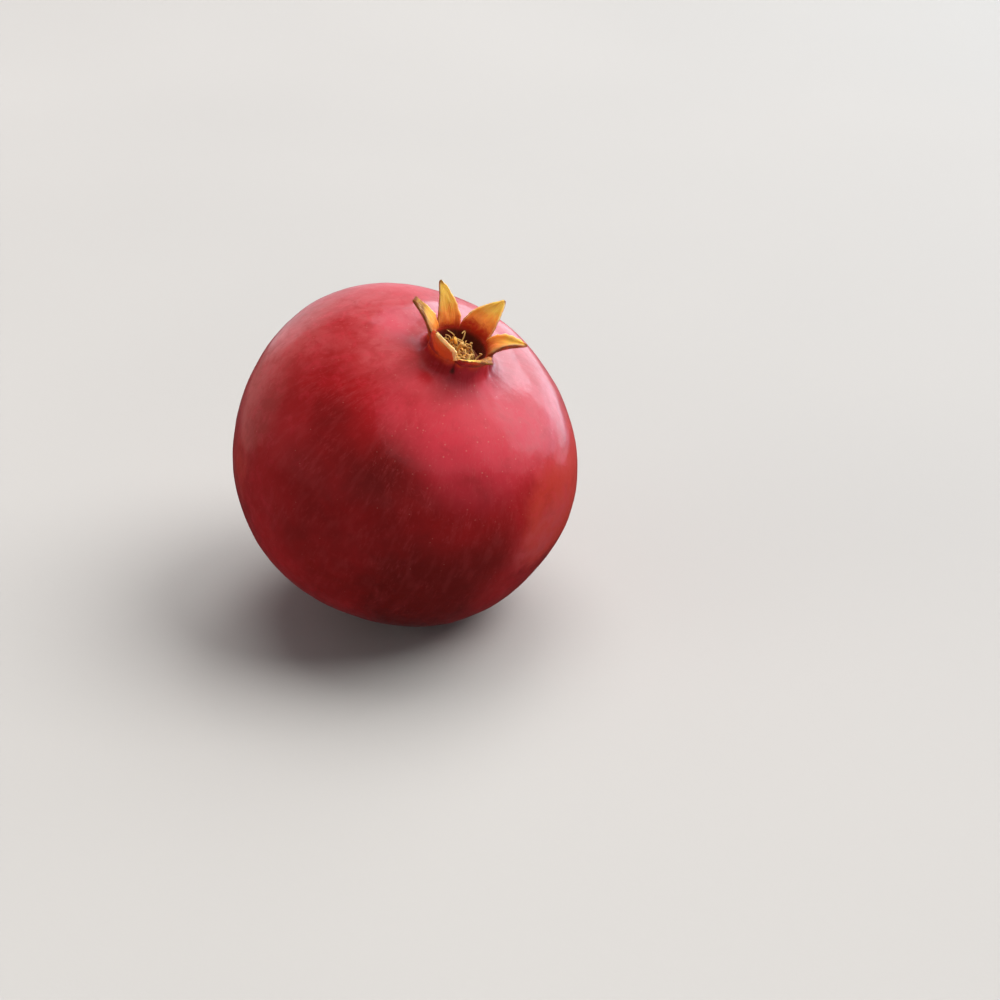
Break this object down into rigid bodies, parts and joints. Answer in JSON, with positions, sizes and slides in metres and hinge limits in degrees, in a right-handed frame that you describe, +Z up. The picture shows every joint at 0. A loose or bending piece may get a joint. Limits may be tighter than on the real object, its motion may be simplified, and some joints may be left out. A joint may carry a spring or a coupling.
{
  "type": "pomegranate",
  "caption": "Whole ripe pomegranate with a rounded leathery rind, a short neck and a crown of pointed sepals round its dried stamens, resting a little tipped over.",
  "frame": {"origin": "middle of the small flat spot that the fruit rests on", "axes": "+Z straight up from the surface it rests on; the crown leans 27 degrees from +Z, towards +X and a little towards -Y; the front view looks along +Y"},
  "size_m": [0.0926, 0.0905, 0.0974],
  "materials": {
    "rind": "smooth satin fruit skin with a slight waxy sheen",
    "stamens": "dry, matte and crinkled",
    "stem": "dry matte bark"
  },
  "bodies": {
    "root": {"rind": "rind", "stamens": "stamens", "stem_stub": "stem"}
  },
  "joints": []
}
